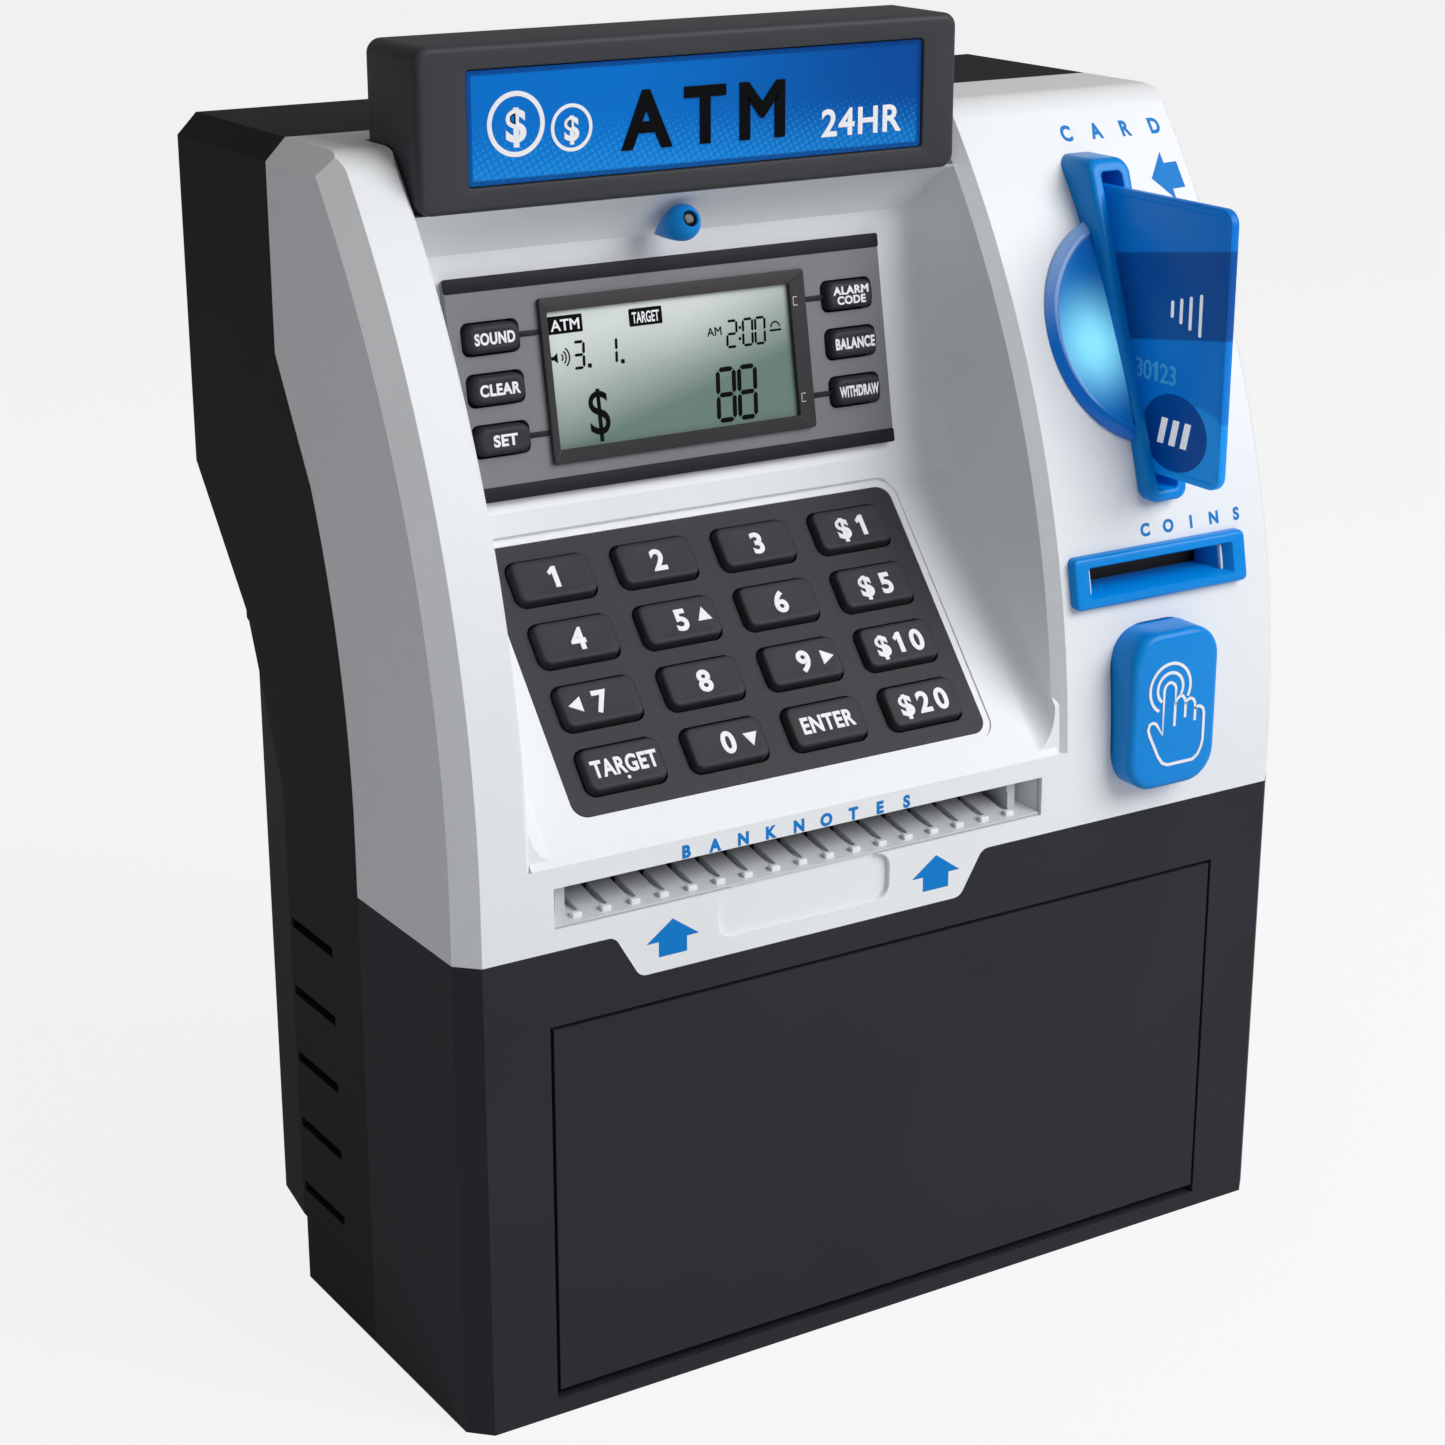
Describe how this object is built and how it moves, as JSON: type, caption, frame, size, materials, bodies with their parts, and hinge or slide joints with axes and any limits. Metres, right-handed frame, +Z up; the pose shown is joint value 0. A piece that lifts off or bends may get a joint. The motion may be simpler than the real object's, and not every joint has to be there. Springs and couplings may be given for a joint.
{
  "type": "toy cash machine savings bank",
  "caption": "Toy cash machine money bank with keypad, display, motor note feed, coin slot, card slot, touch button and a hinged vault door.",
  "frame": {"origin": "middle of the footprint, card included, on the surface the bank stands on", "axes": "+X to the right seen from the front, -Y is the front, +Z up"},
  "size_m": [0.19, 0.1194, 0.2492],
  "materials": {
    "dark_case": "fine matt texture",
    "white_case": "satin",
    "blue_trim": "gloss",
    "sign_face": "printed gloss",
    "panel_grey": "satin",
    "dark_rubber": "matt",
    "dark_frame": "gloss",
    "screen": "clear cover over a grey green screen",
    "circuit_board": "lacquered",
    "light_lens": "translucent",
    "card": "gloss",
    "inner_plastic": "matt",
    "guide_plastic": "satin",
    "gear_plastic": "satin",
    "steel": "bright",
    "brass_gate": "satin",
    "speaker_cone": "paper cone in a dark frame",
    "cell_sleeve": "printed sleeve"
  },
  "bodies": {
    "case": {"rear_shell": "dark_case", "upper_shell": "white_case", "lower_shell": "dark_case", "header_box": "dark_case", "header_panel": "sign_face", "camera_eye": "blue_trim", "camera_lens": "dark_frame", "display_panel": "panel_grey", "lcd_frame": "dark_frame", "lcd_module": "screen", "main_board": "circuit_board", "keypad_mat": "dark_rubber", "keypad_board": "circuit_board", "card_bezel": "blue_trim", "card_lens": "light_lens", "card_led": "circuit_board", "coin_bezel": "blue_trim", "coin_chute": "inner_plastic", "button_switch": "circuit_board", "note_guide": "guide_plastic", "feed_motor": "steel", "vault_bin": "inner_plastic", "door_pins": "steel", "latch_solenoid": "steel", "speaker": "speaker_cone", "batteries": "cell_sleeve", "battery_contacts": "steel", "case_screws": "steel"},
    "door": {"door": "dark_case"},
    "latch_bolt": {"latch_bolt": "steel"},
    "touch_button": {"touch_button": "blue_trim"},
    "bank_card": {"bank_card": "card"},
    "feed_roller": {"feed_roller": "dark_rubber", "drive_gear": "gear_plastic"},
    "motor_pinion": {"motor_pinion": "gear_plastic"},
    "pinch_roller": {"pinch_roller": "dark_rubber"},
    "battery_cover": {"battery_cover": "dark_case"},
    "coin_gate": {"coin_gate": "brass_gate"},
    "key_1": {"key_1": "dark_rubber"},
    "key_2": {"key_2": "dark_rubber"},
    "key_3": {"key_3": "dark_rubber"},
    "key_amount_1": {"key_amount_1": "dark_rubber"},
    "key_4": {"key_4": "dark_rubber"},
    "key_5": {"key_5": "dark_rubber"},
    "key_6": {"key_6": "dark_rubber"},
    "key_amount_5": {"key_amount_5": "dark_rubber"},
    "key_7": {"key_7": "dark_rubber"},
    "key_8": {"key_8": "dark_rubber"},
    "key_9": {"key_9": "dark_rubber"},
    "key_amount_10": {"key_amount_10": "dark_rubber"},
    "key_target": {"key_target": "dark_rubber"},
    "key_0": {"key_0": "dark_rubber"},
    "key_enter": {"key_enter": "dark_rubber"},
    "key_amount_20": {"key_amount_20": "dark_rubber"},
    "key_sound": {"key_sound": "dark_rubber"},
    "key_clear": {"key_clear": "dark_rubber"},
    "key_set": {"key_set": "dark_rubber"},
    "key_alarm": {"key_alarm": "dark_rubber"},
    "key_balance": {"key_balance": "dark_rubber"},
    "key_withdraw": {"key_withdraw": "dark_rubber"}
  },
  "joints": [
    {"name": "door_hinge", "type": "hinge", "parent": "case", "child": "door", "pos_m": [0, -0.0452, 0.008], "axis": [1, 0, 0], "range_deg": [0, 90]},
    {"name": "latch_slide", "type": "slide", "parent": "case", "child": "latch_bolt", "axis": [0, 0, -1], "range_m": [0, 0.006], "stiffness_N_per_m": 30, "springref_m": -0.001},
    {"name": "touch_button_press", "type": "slide", "parent": "case", "child": "touch_button", "axis": [0, 1, 0], "range_m": [0, 0.0024], "stiffness_N_per_m": 150, "springref_m": -0.0005},
    {"name": "card_slide", "type": "slide", "parent": "case", "child": "bank_card", "axis": [0, -1, 0], "range_m": [0, 0.075]},
    {"name": "feed_spin", "type": "hinge", "parent": "case", "child": "feed_roller", "pos_m": [-0.02275, -0.0317, 0.1075], "axis": [1, 0, 0], "continuous": true},
    {"name": "motor_spin", "type": "hinge", "parent": "case", "child": "motor_pinion", "pos_m": [-0.076, -0.02201, 0.11379], "axis": [1, 0, 0], "continuous": true},
    {"name": "pinch_spin", "type": "hinge", "parent": "case", "child": "pinch_roller", "pos_m": [-0.02275, -0.0317, 0.0971], "axis": [1, 0, 0], "continuous": true},
    {"name": "battery_cover_slide", "type": "slide", "parent": "case", "child": "battery_cover", "axis": [0, 0, -1], "range_m": [0, 0.062]},
    {"name": "coin_gate_swing", "type": "hinge", "parent": "case", "child": "coin_gate", "pos_m": [0.0625, -0.0379, 0.1498], "axis": [1, 0, 0], "range_deg": [0, 50], "stiffness_Nm_per_rad": 0.002, "springref_deg": -5.73},
    {"name": "key_1_press", "type": "slide", "parent": "case", "child": "key_1", "axis": [0, 0.7604, -0.6494], "range_m": [0, 0.0012], "stiffness_N_per_m": 40, "springref_m": -0.0003},
    {"name": "key_2_press", "type": "slide", "parent": "case", "child": "key_2", "axis": [0, 0.7604, -0.6494], "range_m": [0, 0.0012], "stiffness_N_per_m": 40, "springref_m": -0.0003},
    {"name": "key_3_press", "type": "slide", "parent": "case", "child": "key_3", "axis": [0, 0.7604, -0.6494], "range_m": [0, 0.0012], "stiffness_N_per_m": 40, "springref_m": -0.0003},
    {"name": "key_amount_1_press", "type": "slide", "parent": "case", "child": "key_amount_1", "axis": [0, 0.7604, -0.6494], "range_m": [0, 0.0012], "stiffness_N_per_m": 40, "springref_m": -0.0003},
    {"name": "key_4_press", "type": "slide", "parent": "case", "child": "key_4", "axis": [0, 0.7604, -0.6494], "range_m": [0, 0.0012], "stiffness_N_per_m": 40, "springref_m": -0.0003},
    {"name": "key_5_press", "type": "slide", "parent": "case", "child": "key_5", "axis": [0, 0.7604, -0.6494], "range_m": [0, 0.0012], "stiffness_N_per_m": 40, "springref_m": -0.0003},
    {"name": "key_6_press", "type": "slide", "parent": "case", "child": "key_6", "axis": [0, 0.7604, -0.6494], "range_m": [0, 0.0012], "stiffness_N_per_m": 40, "springref_m": -0.0003},
    {"name": "key_amount_5_press", "type": "slide", "parent": "case", "child": "key_amount_5", "axis": [0, 0.7604, -0.6494], "range_m": [0, 0.0012], "stiffness_N_per_m": 40, "springref_m": -0.0003},
    {"name": "key_7_press", "type": "slide", "parent": "case", "child": "key_7", "axis": [0, 0.7604, -0.6494], "range_m": [0, 0.0012], "stiffness_N_per_m": 40, "springref_m": -0.0003},
    {"name": "key_8_press", "type": "slide", "parent": "case", "child": "key_8", "axis": [0, 0.7604, -0.6494], "range_m": [0, 0.0012], "stiffness_N_per_m": 40, "springref_m": -0.0003},
    {"name": "key_9_press", "type": "slide", "parent": "case", "child": "key_9", "axis": [0, 0.7604, -0.6494], "range_m": [0, 0.0012], "stiffness_N_per_m": 40, "springref_m": -0.0003},
    {"name": "key_amount_10_press", "type": "slide", "parent": "case", "child": "key_amount_10", "axis": [0, 0.7604, -0.6494], "range_m": [0, 0.0012], "stiffness_N_per_m": 40, "springref_m": -0.0003},
    {"name": "key_target_press", "type": "slide", "parent": "case", "child": "key_target", "axis": [0, 0.7604, -0.6494], "range_m": [0, 0.0012], "stiffness_N_per_m": 40, "springref_m": -0.0003},
    {"name": "key_0_press", "type": "slide", "parent": "case", "child": "key_0", "axis": [0, 0.7604, -0.6494], "range_m": [0, 0.0012], "stiffness_N_per_m": 40, "springref_m": -0.0003},
    {"name": "key_enter_press", "type": "slide", "parent": "case", "child": "key_enter", "axis": [0, 0.7604, -0.6494], "range_m": [0, 0.0012], "stiffness_N_per_m": 40, "springref_m": -0.0003},
    {"name": "key_amount_20_press", "type": "slide", "parent": "case", "child": "key_amount_20", "axis": [0, 0.7604, -0.6494], "range_m": [0, 0.0012], "stiffness_N_per_m": 40, "springref_m": -0.0003},
    {"name": "key_sound_press", "type": "slide", "parent": "case", "child": "key_sound", "axis": [0, 0.9839, -0.1788], "range_m": [0, 0.0012], "stiffness_N_per_m": 30, "springref_m": -0.0003},
    {"name": "key_clear_press", "type": "slide", "parent": "case", "child": "key_clear", "axis": [0, 0.9839, -0.1788], "range_m": [0, 0.0012], "stiffness_N_per_m": 30, "springref_m": -0.0003},
    {"name": "key_set_press", "type": "slide", "parent": "case", "child": "key_set", "axis": [0, 0.9839, -0.1788], "range_m": [0, 0.0012], "stiffness_N_per_m": 30, "springref_m": -0.0003},
    {"name": "key_alarm_press", "type": "slide", "parent": "case", "child": "key_alarm", "axis": [0, 0.9839, -0.1788], "range_m": [0, 0.0012], "stiffness_N_per_m": 30, "springref_m": -0.0003},
    {"name": "key_balance_press", "type": "slide", "parent": "case", "child": "key_balance", "axis": [0, 0.9839, -0.1788], "range_m": [0, 0.0012], "stiffness_N_per_m": 30, "springref_m": -0.0003},
    {"name": "key_withdraw_press", "type": "slide", "parent": "case", "child": "key_withdraw", "axis": [0, 0.9839, -0.1788], "range_m": [0, 0.0012], "stiffness_N_per_m": 30, "springref_m": -0.0003}
  ],
  "couplings": [
    {"joint": "motor_spin", "follows": "feed_spin", "ratio": -2},
    {"joint": "pinch_spin", "follows": "feed_spin", "ratio": -1.1957}
  ]
}
